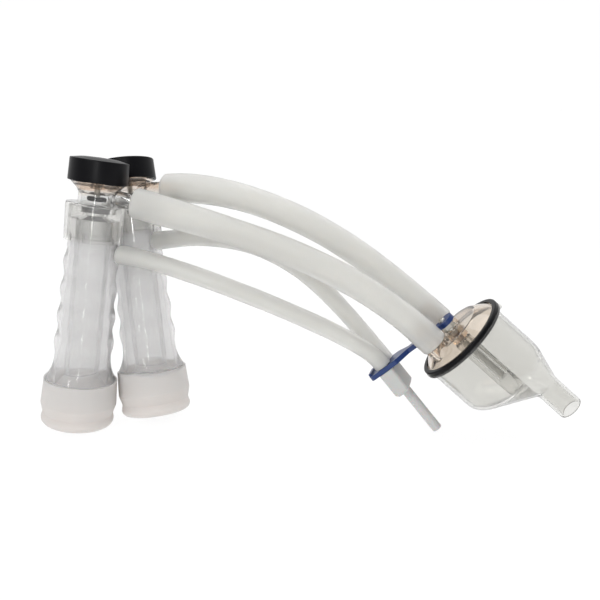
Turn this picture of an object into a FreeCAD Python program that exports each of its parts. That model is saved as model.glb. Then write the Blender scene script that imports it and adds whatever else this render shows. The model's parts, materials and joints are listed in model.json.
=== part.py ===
import FreeCAD, Part
import Sketcher
import math
import os

from FreeCAD import Placement, Rotation, Vector

# Two-cup milking cluster, in millimetres, +Z up.
# Two teat cups stand on their silicone mouthpieces. Each has a push-button shut-off valve on top.
# Milk tubes run from the valves to a small claw, pulse tubes run to a Y piece on a blue bracket.
# The frame's origin lies on the floor under the middle of the cluster.

doc = FreeCAD.newDocument("milking_cluster")
sheet = doc.addObject("Spreadsheet::Sheet", "sizes")

# Cutting tools run this far past the faces they open.
OVERRUN = 1.0

# Cup heights are measured along the cup's own axis from the floor face of its mouthpiece.
# Claw heights are measured along the claw's axis from the end of its outlet nozzle.
DIMENSIONS = {
    # frame
    "origin_shift_x": 5.0,
    "origin_shift_y": 5.45,
    # liner: mouthpiece, skirt and barrel
    "foot_radius": 21.0,
    "foot_round": 4.5,
    "mouth_radius": 11.0,
    "mouth_height": 2.0,
    "mouth_lip": 1.8,
    "lip_radius": 25.5,
    "lip_height": 5.0,
    "groove_radius": 24.6,
    "groove_height": 8.6,
    "band_radius": 26.5,
    "band_height": 15.9,
    "skirt_radius": 25.45,
    "skirt_height": 33.8,
    "slot_outer_radius": 23.6,
    "slot_inner_radius": 20.2,
    "slot_height": 17.0,
    "slot_shoulder": 24.0,
    "chamber_radius": 17.5,
    "chamber_height": 20.0,
    "throat_radius": 10.5,
    "throat_height": 30.0,
    "barrel_bore": 9.5,
    "barrel_radius": 12.0,
    "barrel_start": 34.0,
    "barrel_top": 149.0,
    # shell: clear barrel with finger waves
    "shell_foot_radius": 23.3,
    "shell_foot_bore": 20.5,
    "shell_foot": 17.4,
    "shell_bell_height": 34.2,
    "shell_bell_radius": 24.5,
    "wave_start": 51.9,
    "wave_end": 128.7,
    "wave_pitch": 19.2,
    "wave_depth": 0.75,
    "wave_mean_radius": 20.25,
    "shell_taper": 0.035,
    "shell_bell_curve": 2.2,
    "shell_step": 1.5,
    "shell_foot_cone": 4.0,
    "shell_wall": 2.2,
    "shell_top_radius": 17.0,
    "shell_top_bore": 14.9,
    "shell_top": 137.0,
    "pulse_nipple_height": 128.2,
    "pulse_nipple_slope": 0.3,
    "pulse_nipple_radius": 3.4,
    "pulse_nipple_bore": 2.2,
    "pulse_nipple_reach": 31.0,
    "pulse_nipple_root": 15.7,
    # collar: clear locking ring
    "collar_bottom": 135.0,
    "collar_top": 160.9,
    "collar_low_radius": 19.7,
    "collar_top_radius": 20.35,
    "collar_bore": 18.0,
    "collar_roof": 159.6,
    "collar_mouth": 13.2,
    "collar_line_height": 140.6,
    "collar_line_width": 0.7,
    "collar_line_depth": 0.5,
    "collar_round": 1.2,
    "notch_width": 1.0,
    "notch_height": 4.6,
    "notch_depth": 0.9,
    "notch_pair_angle": 30.0,
    "notch_first_angle": -122.0,
    "notch_lift": 0.5,
    # valve body: neck, side nozzle and bowl
    "valve_foot": 137.4,
    "valve_flange_radius": 17.6,
    "valve_flange_top": 159.3,
    "valve_socket_bore": 12.3,
    "valve_socket_top": 150.0,
    "valve_port_radius": 6.0,
    "valve_port_bottom": 153.0,
    "seat_pocket_floor": 155.0,
    "seat_pocket_radius": 9.6,
    "seat_pocket_top": 158.0,
    "neck_radius": 12.4,
    "neck_bore": 10.4,
    "neck_top": 167.5,
    "bowl_low_radius": 13.5,
    "bowl_low_height": 169.8,
    "bowl_radius": 18.3,
    "bowl_height": 175.0,
    "bowl_bore": 16.4,
    "bowl_floor_height": 173.0,
    "guide_ledge_bore": 15.0,
    "guide_ledge": 175.4,
    "bowl_rim": 181.5,
    "nozzle_height": 168.6,
    "nozzle_slope": 6.6,
    "nozzle_radius": 5.2,
    "nozzle_bore": 4.2,
    "nozzle_reach": 45.0,
    "nozzle_root": 7.4,
    # moving valve parts
    "seat_radius": 9.4,
    "seat_hole": 5.2,
    "seat_bottom": 155.1,
    "seat_top": 158.4,
    "seat_bevel": 1.0,
    "plunger_radius": 6.6,
    "plunger_bottom": 162.6,
    "plunger_top": 165.4,
    "plunger_bevel": 0.7,
    "stem_radius": 2.0,
    "stem_top": 186.6,
    "stem_bevel": 0.5,
    "guide_radius": 16.2,
    "guide_bottom": 175.6,
    "guide_top": 178.2,
    "guide_bore": 2.08,
    "guide_boss_radius": 5.0,
    "guide_boss_bottom": 171.5,
    "seal_ring_radius": 3.5,
    "seal_ring_thickness": 1.2,
    "seal_ring_gap": 0.02,
    # push button cap
    "cap_bottom": 175.4,
    "cap_low_radius": 20.2,
    "cap_top_radius": 19.7,
    "cap_edge_height": 190.3,
    "cap_crown_height": 192.4,
    "cap_crown_edge_radius": 13.7,
    "cap_crown_edge_height": 191.9,
    "cap_round": 1.2,
    "cap_bore": 18.5,
    "cap_roof": 187.4,
    "cap_boss_radius": 4.2,
    "cap_boss_bottom": 183.4,
    "cap_socket": 2.1,
    "cap_socket_gap": 0.2,
    # cup places and leans
    "left_cup_x": -164.4,
    "left_cup_y": -5.0,
    "left_lean_right": 8.32,
    "left_lean_back": 0.95,
    "left_turn": -8.8,
    "right_cup_x": -109.4,
    "right_cup_y": 13.3,
    "right_lean_right": -6.28,
    "right_lean_back": 8.6,
    "right_turn": -29.1,
    # claw place
    "claw_rim_x": 113.0,
    "claw_rim_y": -15.5,
    "claw_rim_z": 69.5,
    "claw_turn": -4.6,
    "claw_tilt": 48.7,
    # claw bowl
    "outlet_offset": 14.8,
    "outlet_radius": 9.0,
    "outlet_bore": 6.8,
    "cone_bottom": 24.0,
    "cone_top": 51.0,
    "claw_radius": 30.0,
    "claw_wall": 2.2,
    "claw_rim": 92.0,
    "flange_radius": 33.0,
    "flange_thickness": 1.5,
    "claw_corner_round": 5.0,
    "pillar_radius": 6.5,
    "pillar_bore": 2.6,
    "pillar_bore_bottom": 52.0,
    "pillar_top": 91.0,
    "lug_reach": 33.8,
    "lug_width": 5.0,
    "lug_bottom": 5.8,
    "lug_height": 3.0,
    # claw dome
    "dome_gap": 0.2,
    "dome_step_radius": 31.0,
    "dome_arc": 66.0,
    "dome_shoulder_radius": 22.0,
    "dome_shoulder_height": 9.2,
    "dome_crown_height": 9.8,
    "dome_wall": 2.2,
    "dome_boss_radius": 6.5,
    "dome_boss_height": 10.3,
    "nipple_circle": 18.8,
    "nipple_radius": 5.9,
    "nipple_bore": 4.5,
    "nipple_foot_radius": 9.0,
    "nipple_foot_height": 13.4,
    "nipple_top": 31.0,
    "left_nipple_angle": 222.0,
    "right_nipple_angle": 97.0,
    # claw seal band
    "band_outer": 34.7,
    "band_gap": 0.1,
    "band_low": 2.3,
    "band_high": 2.5,
    "band_lip_radius": 31.4,
    "band_round": 0.8,
    # centre fastening
    "stud_radius": 2.5,
    "stud_top": 19.6,
    "stud_bottom": 52.3,
    "stud_bevel": 0.6,
    "stud_clearance": 0.2,
    "washer_radius": 4.9,
    "washer_thickness": 0.9,
    "nut_width": 8.0,
    "nut_thickness": 3.3,
    "nut_bore": 2.55,
    "nut_bevel_radius": 3.8,
    "nut_bevel_drop": 2.2,
    "stack_gap": 0.05,
    # hanger bracket
    "bracket_angle": 172.0,
    "bracket_slope": 7.6,
    "bracket_twist": 8.0,
    "bracket_thickness": 3.4,
    "bracket_width": 8.4,
    "bracket_hub_radius": 6.2,
    "bracket_hub_reach": 1.8,
    "bracket_bend": 6.0,
    "bracket_length": 52.6,
    "bracket_taper_start": 26.0,
    "bracket_taper_end": 36.0,
    "bracket_end_reach": 13.0,
    "bracket_corner": 5.0,
    "bracket_lip": 1.6,
    "bracket_lip_width": 2.2,
    "bracket_pad_width": 25.0,
    "bracket_hole_radius": 4.8,
    # pulse manifold
    "stem_reach": 58.9,
    "stem_outer": 3.65,
    "stem_bore": 2.2,
    "manifold_spread": 13.2,
    "manifold_width": 11.6,
    "manifold_length": 26.4,
    "manifold_height": 20.0,
    "manifold_drop": 1.9,
    "manifold_round": 2.4,
    "manifold_chamfer": 2.1,
    "manifold_nipple_top": 7.8,
    "manifold_nipple_root": 3.0,
    "gallery_depth": 9.9,
    # tubes
    "milk_tube_radius": 9.5,
    "milk_tube_bore": 6.0,
    "left_milk_tube_start": 28.0,
    "right_milk_tube_start": 37.0,
    "milk_tube_straight": 40.0,
    "pulse_tube_radius": 6.3,
    "pulse_tube_bore": 3.5,
    "pulse_tube_start": 19.0,
    "pulse_tube_end": 2.2,
    "tube_end_gap": 0.3,
    # reach of each tube's bend at its cup end and at its claw end
    "left_milk_cup_bend": 59.0,
    "left_milk_claw_bend": 69.0,
    "right_milk_cup_bend": 78.0,
    "right_milk_claw_bend": 70.0,
    "left_pulse_cup_bend": 38.0,
    "left_pulse_claw_bend": 21.0,
    "right_pulse_cup_bend": 87.0,
    "right_pulse_claw_bend": 81.0,
}


def fill_sheet():
    for row, (alias, value) in enumerate(DIMENSIONS.items(), start=1):
        sheet.set(f"A{row}", alias)
        sheet.set(f"B{row}", str(value))
        sheet.setAlias(f"B{row}", alias)
    doc.recompute()


def size(expression):
    """Value of a sum of sheet names and numbers, such as 'claw_rim - claw_wall'."""
    total = 0.0
    sign = 1.0
    for word in expression.split():
        if word in "+-":
            sign = 1.0 if word == "+" else -1.0
        elif word == "OVERRUN":
            total += sign * OVERRUN
        elif word[0].isalpha():
            total += sign * float(sheet.get(word))
        else:
            total += sign * float(word)
    return total


def bound(expression):
    """The same sum written as an expression on the sheet's cells."""
    words = expression.replace("OVERRUN", str(OVERRUN)).split()
    return " ".join(f"sizes.{word}" if word[0].isalpha() else word for word in words)


# ---- helpers: bodies, sketches and features bound to the sheet ----

def new_body(label):
    body = doc.addObject("PartDesign::Body", label)
    body.Label = label
    return body


def origin_plane(body, role):
    return next(item for item in body.Origin.OriginFeatures if item.Role == role)


def sketch_on(body, name, role, offset=None):
    """A sketch on one of the body's own planes, raised by a bound offset along the plane's normal."""
    sketch = body.newObject("Sketcher::SketchObject", f"{body.Name}_{name}")
    sketch.AttachmentSupport = [(origin_plane(body, role), "")]
    sketch.MapMode = "FlatFace"
    if offset is not None:
        sketch.AttachmentOffset = Placement(Vector(0, 0, size(offset)), Rotation())
        sketch.setExpression("AttachmentOffset.Base.z", bound(offset))
    return sketch


def bind(sketch, constraint, expression):
    index = sketch.addConstraint(constraint)
    sketch.setExpression(f"Constraints[{index}]", bound(expression))


def pin_point(sketch, line, x, y):
    """Hold the start point of a line at bound distances from the sketch's origin."""
    if x == "axis":
        sketch.addConstraint(Sketcher.Constraint("PointOnObject", line, 1, -2))
    else:
        bind(sketch, Sketcher.Constraint("DistanceX", -1, 1, line, 1, size(x)), x)
    bind(sketch, Sketcher.Constraint("DistanceY", -1, 1, line, 1, size(y)), y)


def outline(sketch, corners):
    """Closed outline. A corner is (x, y), or (x, y, radius) when an arc bulging outwards leads on."""
    points = [Vector(0 if corner[0] == "axis" else size(corner[0]), size(corner[1]), 0) for corner in corners]
    count = len(corners)
    for index, corner in enumerate(corners):
        start = points[index]
        end = points[(index + 1) % count]
        if len(corner) == 2:
            sketch.addGeometry(Part.LineSegment(start, end), False)
        else:
            sketch.addGeometry(arc_between(start, end, size(corner[2])), False)
    for index in range(count):
        follower = (index + 1) % count
        sketch.addConstraint(Sketcher.Constraint("Coincident", index, 2, follower, 1))
    for index, corner in enumerate(corners):
        pin_point(sketch, index, corner[0], corner[1])
        if len(corner) == 3:
            radius = Sketcher.Constraint("Radius", index, abs(size(corner[2])))
            bind(sketch, radius, corner[2].lstrip("- "))


def arc_between(start, end, radius):
    """Counter-clockwise arc from start to end, at most half a turn."""
    chord = end - start
    middle = (start + end) * 0.5
    side = Vector(-chord.y, chord.x, 0).normalize()
    centre = middle + side * math.sqrt(max(radius ** 2 - (chord.Length / 2) ** 2, 0))
    first = math.atan2(start.y - centre.y, start.x - centre.x)
    last = math.atan2(end.y - centre.y, end.x - centre.x)
    return Part.ArcOfCircle(Part.Circle(centre, Vector(0, 0, 1), radius), first, last)


def circle(sketch, radius, x=None, y=None):
    """Circle of bound radius, centred on the sketch's origin or at bound distances from it."""
    centre = Vector(size(x) if x else 0, size(y) if y else 0, 0)
    index = sketch.addGeometry(Part.Circle(centre, Vector(0, 0, 1), size(radius)), False)
    bind(sketch, Sketcher.Constraint("Radius", index, size(radius)), radius)
    for name, text, axis in (("DistanceX", x, -2), ("DistanceY", y, -1)):
        if text:
            bind(sketch, Sketcher.Constraint(name, -1, 1, index, 3, size(text)), text)
        else:
            sketch.addConstraint(Sketcher.Constraint("PointOnObject", index, 3, axis))


def feature(body, kind, name, sketch):
    item = body.newObject(f"PartDesign::{kind}", f"{body.Name}_{name}")
    item.Profile = sketch
    return item


def revolve(body, name, corners, kind="Revolution"):
    """Full turn of an outline about the body's Z axis, added (Revolution) or removed (Groove)."""
    sketch = sketch_on(body, f"{name}_outline", "XZ_Plane")
    outline(sketch, corners)
    item = feature(body, kind, name, sketch)
    item.ReferenceAxis = (sketch, ["V_Axis"])
    item.Angle = 360
    return item


def raise_disc(body, name, radius, bottom, top, x=None, y=None):
    """Round pad between two bound heights."""
    sketch = sketch_on(body, f"{name}_outline", "XY_Plane", bottom)
    circle(sketch, radius, x, y)
    item = feature(body, "Pad", name, sketch)
    height = f"{top} - {minus(bottom)}"
    item.Length = size(height)
    item.setExpression("Length", bound(height))
    return item


def drill_disc(body, name, radius, bottom, top, x=None, y=None):
    """Round pocket between two bound heights, cut upwards from the lower one."""
    sketch = sketch_on(body, f"{name}_outline", "XY_Plane", bottom)
    circle(sketch, radius, x, y)
    doc.recompute()
    before = body.Shape.Volume
    item = feature(body, "Pocket", name, sketch)
    height = f"{top} - {minus(bottom)}"
    item.Length = size(height)
    item.setExpression("Length", bound(height))
    item.Reversed = True
    doc.recompute()
    if body.Shape.Volume >= before:
        raise RuntimeError(f"{body.Label}: pocket {name} cut nothing")
    return item


def minus(expression):
    """The same sum with the signs after its first term swapped, to subtract it from another."""
    swap = {"+": "-", "-": "+"}
    return " ".join(swap.get(word, word) for word in expression.split())


def side_tube(body, name, radius, height, slope, start, length, kind="Pad"):
    """Round pad or pocket that leaves the axis towards +X, sloping down."""
    sketch = sketch_on(body, f"{name}_outline", "YZ_Plane")
    tilt = Rotation(Vector(1, 0, 0), size(slope))
    along = tilt.multVec(Vector(0, 0, size(start)))
    sketch.AttachmentOffset = Placement(Vector(0, size(height), 0) + along, tilt)
    circle(sketch, radius)
    doc.recompute()
    before = body.Shape.Volume
    item = feature(body, kind, name, sketch)
    item.Length = size(length)
    item.setExpression("Length", bound(length))
    item.Reversed = kind == "Pocket"
    doc.recompute()
    if kind == "Pocket" and body.Shape.Volume >= before:
        raise RuntimeError(f"{body.Label}: pocket {name} cut nothing")
    return item


def ring_edges(shape, radius, height, slack=0.05):
    """Names of the full circular edges of one radius at one height."""
    names = []
    for number, edge in enumerate(shape.Edges, start=1):
        curve = edge.Curve
        if not isinstance(curve, Part.Circle):
            continue
        if abs(curve.Radius - radius) < slack and abs(curve.Center.z - height) < slack:
            names.append(f"Edge{number}")
    return names


def soften(body, name, radius, rings):
    """Fillet the circular edges named by (radius, height) pairs."""
    doc.recompute()
    base = body.Tip
    edges = []
    for ring_radius, height in rings:
        edges += ring_edges(base.Shape, size(ring_radius), size(height))
    if not edges:
        raise RuntimeError(f"{body.Label}: no edge found for {name}")
    item = body.newObject("PartDesign::Fillet", f"{body.Name}_{name}")
    item.Base = (base, edges)
    item.Radius = size(radius)
    item.setExpression("Radius", bound(radius))
    doc.recompute()
    return item


def shaped(label, shape):
    """A sub-part whose shape comes straight from Part's own functions."""
    item = doc.addObject("Part::Feature", label)
    item.Label = label
    item.Shape = shape
    return item


# ---- places ----

def cup_place(side):
    """Where a cup stands: leaning on the edge of its foot ring, which touches the floor."""
    lean_right = Rotation(Vector(0, 1, 0), size(f"{side}_lean_right"))
    lean_back = Rotation(Vector(1, 0, 0), -size(f"{side}_lean_back"))
    turn = Rotation(Vector(0, 0, 1), size(f"{side}_turn"))
    pose = lean_right.multiply(lean_back).multiply(turn)
    lean = pose.multVec(Vector(0, 0, 1)).getAngle(Vector(0, 0, 1))
    lift = size("foot_radius") * math.sin(lean) + size("foot_round") * (1 - math.cos(lean))
    x = size(f"{side}_cup_x - origin_shift_x")
    y = size(f"{side}_cup_y - origin_shift_y")
    return Placement(Vector(x, y, lift), pose)


def claw_place():
    """Claw frame: +Z from the outlet's end towards the dome, +X up and away from the cups."""
    turn = Rotation(Vector(0, 0, 1), size("claw_turn"))
    tilt = Rotation(Vector(0, 1, 0), -size("claw_tilt"))
    pose = turn.multiply(tilt)
    rim = Vector(size("claw_rim_x - origin_shift_x"), size("claw_rim_y - origin_shift_y"), size("claw_rim_z"))
    return Placement(rim - pose.multVec(Vector(0, 0, size("claw_rim"))), pose)


# ---- teat cup ----

def make_liner(side):
    body = new_body(f"{side}_liner")
    revolve(body, "moulding", [
        ("mouth_radius", "mouth_height"),
        ("mouth_radius + mouth_lip", "0"),
        ("foot_radius", "0", "foot_round"),
        ("lip_radius", "lip_height"),
        ("groove_radius", "groove_height"),
        ("band_radius", "band_height"),
        ("skirt_radius", "skirt_height"),
        ("slot_outer_radius", "skirt_height"),
        ("slot_outer_radius", "slot_height"),
        ("slot_inner_radius", "slot_height"),
        ("slot_inner_radius", "slot_shoulder"),
        ("barrel_radius", "barrel_start"),
        ("barrel_radius", "barrel_top"),
        ("barrel_bore", "barrel_top"),
        ("barrel_bore", "barrel_start"),
        ("throat_radius", "throat_height"),
        ("chamber_radius", "chamber_height"),
        ("chamber_radius", "lip_height"),
        ("mouth_radius", "mouth_height + mouth_lip"),
    ])
    body.Placement = cup_place(side)
    return body


def wave_radius(height):
    """Shell radius at one height: a slow taper with finger waves on it."""
    mean = size("wave_mean_radius") - (height - size("wave_start")) * size("shell_taper")
    phase = 2 * math.pi * (height - size("wave_start")) / size("wave_pitch")
    return mean - size("wave_depth") * math.cos(phase)


def bell_radius(height):
    """Shell radius of the bell between the skirt and the first wave."""
    low = size("shell_bell_height")
    top = size("wave_start")
    share = (top - height) / (top - low)
    waist = wave_radius(top)
    return waist + (size("shell_bell_radius") - waist) * share ** size("shell_bell_curve")


def curve_through(radius_at, low, high, steps):
    """Smooth curve in the XZ plane through points of a formula."""
    points = []
    for step in range(steps + 1):
        height = low + (high - low) * step / steps
        points.append(Vector(radius_at(height), 0, height))
    curve = Part.BSplineCurve()
    curve.interpolate(points)
    return curve.toShape()


def joined_lines(points):
    """Straight edges through (radius, height) points."""
    vectors = [Vector(radius, 0, height) for radius, height in points]
    return [Part.makeLine(start, end) for start, end in zip(vectors, vectors[1:])]


def shell_profile():
    waist = size("wave_start")
    wave_end = size("wave_end")
    bell = size("shell_bell_height")
    bell_curve = curve_through(bell_radius, bell, waist, 10)
    wave_curve = curve_through(wave_radius, waist, wave_end, 48)
    inner_waist = wave_radius(waist) - size("shell_wall")
    rim = joined_lines([
        (wave_radius(wave_end), wave_end),
        (size("shell_top_radius"), size("wave_end + shell_step")),
        (size("shell_top_radius"), size("shell_top")),
        (size("shell_top_bore"), size("shell_top")),
        (inner_waist, waist),
        (size("shell_foot_bore"), size("slot_shoulder + shell_foot_cone")),
        (size("shell_foot_bore"), size("shell_foot")),
        (size("shell_foot_radius"), size("shell_foot")),
        (size("shell_foot_radius"), bell),
        (bell_radius(bell), bell),
    ])
    return Part.Face(Part.Wire([bell_curve, wave_curve] + rim))


def make_shell(side):
    """Revolved wave profile with a side nipple for the pulse tube."""
    barrel = shell_profile().revolve(Vector(0, 0, 0), Vector(0, 0, 1), 360)
    slope = math.radians(size("pulse_nipple_slope"))
    direction = Vector(math.cos(slope), 0, -math.sin(slope))
    root = Vector(0, 0, size("pulse_nipple_height"))
    reach = size("pulse_nipple_reach")
    length = size("pulse_nipple_reach - pulse_nipple_root")
    start = root + direction * size("pulse_nipple_root")
    nipple = Part.makeCylinder(size("pulse_nipple_radius"), length, start, direction)
    bore = Part.makeCylinder(size("pulse_nipple_bore"), reach, root + direction, direction)
    item = shaped(f"{side}_shell", barrel.fuse(nipple).cut(bore).removeSplitter())
    item.Placement = cup_place(side)
    return item


def make_collar(side):
    body = new_body(f"{side}_collar")
    revolve(body, "ring", [
        ("collar_bore", "collar_bottom"),
        ("collar_low_radius", "collar_bottom"),
        ("collar_top_radius", "collar_top"),
        ("collar_mouth", "collar_top"),
        ("collar_mouth", "collar_roof"),
        ("collar_bore", "collar_roof"),
    ])
    soften(body, "top_edge", "collar_round", [("collar_top_radius", "collar_top")])
    line = [
        ("collar_low_radius - collar_line_depth", "collar_line_height"),
        ("collar_top_radius + OVERRUN", "collar_line_height"),
        ("collar_top_radius + OVERRUN", "collar_line_height + collar_line_width"),
        ("collar_low_radius - collar_line_depth", "collar_line_height + collar_line_width"),
    ]
    revolve(body, "parting_line", line, "Groove")
    doc.recompute()
    pair = size("notch_pair_angle")
    first = size("notch_first_angle") - size(f"{side}_turn")
    for number in range(8):
        quarter, second = divmod(number, 2)
        cut_notch(body, f"notch_{number}", first + 90 * quarter + pair * second)
    body.Placement = cup_place(side)
    return body


def cut_notch(body, name, angle):
    """Short upright slot in the collar's lower band."""
    box = body.newObject("PartDesign::SubtractiveBox", f"{body.Name}_{name}")
    box.Length = size("notch_depth") + 2 * OVERRUN
    box.Width = size("notch_width")
    box.Height = size("notch_height")
    box.setExpression("Width", bound("notch_width"))
    box.setExpression("Height", bound("notch_height"))
    turn = Rotation(Vector(0, 0, 1), angle)
    depth = size("collar_low_radius - notch_depth")
    start = Vector(depth, -size("notch_width") / 2, size("collar_bottom + notch_lift"))
    box.Placement = Placement(turn.multVec(start), turn)


def make_valve_body(side):
    body = new_body(f"{side}_valve_body")
    revolve(body, "outside", [
        ("axis", "valve_foot"),
        ("valve_flange_radius", "valve_foot"),
        ("valve_flange_radius", "valve_flange_top"),
        ("neck_radius", "valve_flange_top"),
        ("neck_radius", "neck_top"),
        ("bowl_low_radius", "bowl_low_height"),
        ("bowl_radius", "bowl_height"),
        ("bowl_radius", "bowl_rim"),
        ("axis", "bowl_rim"),
    ])
    side_tube(body, "nozzle", "nozzle_radius", "nozzle_height", "nozzle_slope",
              "nozzle_root", "nozzle_reach - nozzle_root")
    revolve(body, "inside", [
        ("axis", "valve_foot - OVERRUN"),
        ("valve_socket_bore", "valve_foot - OVERRUN"),
        ("valve_socket_bore", "valve_socket_top"),
        ("valve_port_radius", "valve_port_bottom"),
        ("valve_port_radius", "seat_pocket_floor"),
        ("seat_pocket_radius", "seat_pocket_floor"),
        ("seat_pocket_radius", "seat_pocket_top"),
        ("neck_bore", "seat_pocket_top"),
        ("neck_bore", "neck_top"),
        ("guide_ledge_bore", "bowl_floor_height"),
        ("guide_ledge_bore", "guide_ledge"),
        ("bowl_bore", "guide_ledge"),
        ("bowl_bore", "bowl_rim + OVERRUN"),
        ("axis", "bowl_rim + OVERRUN"),
    ], "Groove")
    doc.recompute()
    side_tube(body, "nozzle_bore", "nozzle_bore", "nozzle_height", "nozzle_slope",
              "nozzle_root - 3", "nozzle_reach", "Pocket")
    body.Placement = cup_place(side)
    return body


def make_round(side, name, corners):
    """A turned or moulded piece on the cup's axis."""
    body = new_body(f"{side}_{name}")
    revolve(body, "turned", corners)
    body.Placement = cup_place(side)
    return body


def make_valve_seat(side):
    return make_round(side, "valve_seat", [
        ("seat_hole", "seat_bottom"),
        ("seat_radius", "seat_bottom"),
        ("seat_radius", "seat_top"),
        ("seat_hole + seat_bevel", "seat_top"),
        ("seat_hole", "seat_top - seat_bevel"),
    ])


def make_plunger(side):
    return make_round(side, "valve_plunger", [
        ("axis", "plunger_bottom"),
        ("plunger_radius - plunger_bevel", "plunger_bottom"),
        ("plunger_radius", "plunger_bottom + plunger_bevel"),
        ("plunger_radius", "plunger_top - plunger_bevel"),
        ("plunger_radius - plunger_bevel", "plunger_top"),
        ("axis", "plunger_top"),
    ])


def make_stem(side):
    return make_round(side, "valve_stem", [
        ("axis", "plunger_top"),
        ("stem_radius", "plunger_top"),
        ("stem_radius", "stem_top - stem_bevel"),
        ("stem_radius - stem_bevel", "stem_top"),
        ("axis", "stem_top"),
    ])


def make_guide(side):
    return make_round(side, "stem_guide", [
        ("guide_bore", "guide_boss_bottom"),
        ("guide_boss_radius", "guide_boss_bottom"),
        ("guide_boss_radius", "guide_bottom"),
        ("guide_radius", "guide_bottom"),
        ("guide_radius", "guide_top"),
        ("guide_bore", "guide_top"),
    ])


def make_stem_seal(side):
    """Rubber ring lying on the guide around the stem."""
    body = new_body(f"{side}_stem_seal")
    sketch = sketch_on(body, "section", "XZ_Plane")
    height = "guide_top + seal_ring_thickness + seal_ring_gap"
    circle(sketch, "seal_ring_thickness", "seal_ring_radius", height)
    item = feature(body, "Revolution", "ring", sketch)
    item.ReferenceAxis = (sketch, ["V_Axis"])
    item.Angle = 360
    body.Placement = cup_place(side)
    return body


def make_cap(side):
    body = new_body(f"{side}_valve_cap")
    revolve(body, "moulding", [
        ("cap_bore", "cap_bottom"),
        ("cap_low_radius", "cap_bottom"),
        ("cap_top_radius", "cap_edge_height"),
        ("cap_crown_edge_radius", "cap_crown_edge_height"),
        ("axis", "cap_crown_height"),
        ("axis", "stem_top + cap_socket_gap"),
        ("cap_socket", "stem_top + cap_socket_gap"),
        ("cap_socket", "cap_boss_bottom"),
        ("cap_boss_radius", "cap_boss_bottom"),
        ("cap_boss_radius", "cap_roof"),
        ("cap_bore", "cap_roof"),
    ])
    soften(body, "top_edge", "cap_round", [("cap_top_radius", "cap_edge_height")])
    body.Placement = cup_place(side)
    return body


# ---- claw ----

def primitive(kind, name, place=None, **sizes):
    """A Part primitive whose sizes are sums on the sheet."""
    item = doc.addObject(f"Part::{kind}", name)
    for prop, expression in sizes.items():
        setattr(item, prop, size(expression))
        item.setExpression(prop, bound(expression))
    if place is not None:
        item.Placement = place
    return item


def at(x="0", y="0", z="0"):
    return Placement(Vector(size(x), size(y), size(z)), Rotation())


def combine(kind, name, *items):
    result = doc.addObject(f"Part::{kind}", name)
    if kind == "Cut":
        result.Base, result.Tool = items
    else:
        result.Shapes = list(items)
    return result


def claw_volume(name, radius, outlet, top):
    """Cup, slanted cone and outlet in one solid: the bowl's outside, or the space inside it."""
    cup = primitive("Cylinder", f"{name}_cup", at(z="cone_top"), Radius=radius, Height=f"{top} - cone_top")
    wide = primitive("Circle", f"{name}_wide", at(z="cone_top"), Radius=radius)
    narrow = primitive("Circle", f"{name}_narrow", at(x="outlet_offset", z="cone_bottom"), Radius=outlet)
    cone = doc.addObject("Part::Loft", f"{name}_cone")
    cone.Sections = [narrow, wide]
    cone.Solid = True
    cone.Ruled = True
    nozzle = primitive("Cylinder", f"{name}_nozzle", at(x="outlet_offset"),
                       Radius=outlet, Height="cone_bottom")
    return combine("MultiFuse", f"{name}_volume", cup, cone, nozzle)


def make_claw_bowl():
    outside = claw_volume("bowl_outside", "claw_radius", "outlet_radius", "claw_rim")
    outside.Refine = True
    rounded = fillet_rings(outside, "bowl_rounded", "claw_corner_round", [("claw_radius", "cone_top")])
    flange = primitive("Cylinder", "bowl_flange", at(z="claw_rim - flange_thickness"),
                       Radius="flange_radius", Height="flange_thickness")
    space = claw_volume("bowl_inside", "claw_radius - claw_wall", "outlet_bore", "claw_rim + OVERRUN")
    pillar = primitive("Cylinder", "bowl_pillar", Radius="pillar_radius", Height="pillar_top")
    stud_hole = primitive("Cylinder", "bowl_stud_hole", at(z="pillar_bore_bottom"),
                          Radius="pillar_bore", Height="claw_rim - pillar_bore_bottom")
    lug_place = Placement(Vector(0, -size("lug_width") / 2, size("claw_rim - lug_bottom")), Rotation())
    lug = primitive("Box", "bowl_lug", lug_place, Length="lug_reach", Width="lug_width", Height="lug_height")
    space_round_pillar = combine("Cut", "bowl_space", space, pillar)
    body = combine("MultiFuse", "bowl_blank", rounded, flange, lug)
    hollow = combine("Cut", "bowl_hollow", body, space_round_pillar)
    bowl = combine("Cut", "claw_bowl", hollow, stud_hole)
    bowl.Label = "claw_bowl"
    bowl.Placement = claw_place()
    return bowl


def fillet_rings(base, name, radius, rings):
    """Part fillet on full circular edges named by (radius, height) pairs."""
    doc.recompute()
    edges = []
    for ring_radius, height in rings:
        edges += ring_edges(base.Shape, size(ring_radius), size(height))
    if not edges:
        raise RuntimeError(f"{name}: no edge found")
    item = doc.addObject("Part::Fillet", name)
    item.Base = base
    item.Edges = [(int(edge[4:]), size(radius), size(radius)) for edge in edges]
    return item


def polar_offset(sketch, radius, angle):
    """Move a sketch on the XY plane out to a bound radius and angle."""
    turn = math.radians(size(angle))
    sketch.AttachmentOffset.Base.x = size(radius) * math.cos(turn)
    sketch.AttachmentOffset.Base.y = size(radius) * math.sin(turn)
    sketch.setExpression("AttachmentOffset.Base.x", f"{bound(radius)} * cos({bound(angle)} * 1 deg)")
    sketch.setExpression("AttachmentOffset.Base.y", f"{bound(radius)} * sin({bound(angle)} * 1 deg)")


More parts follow.
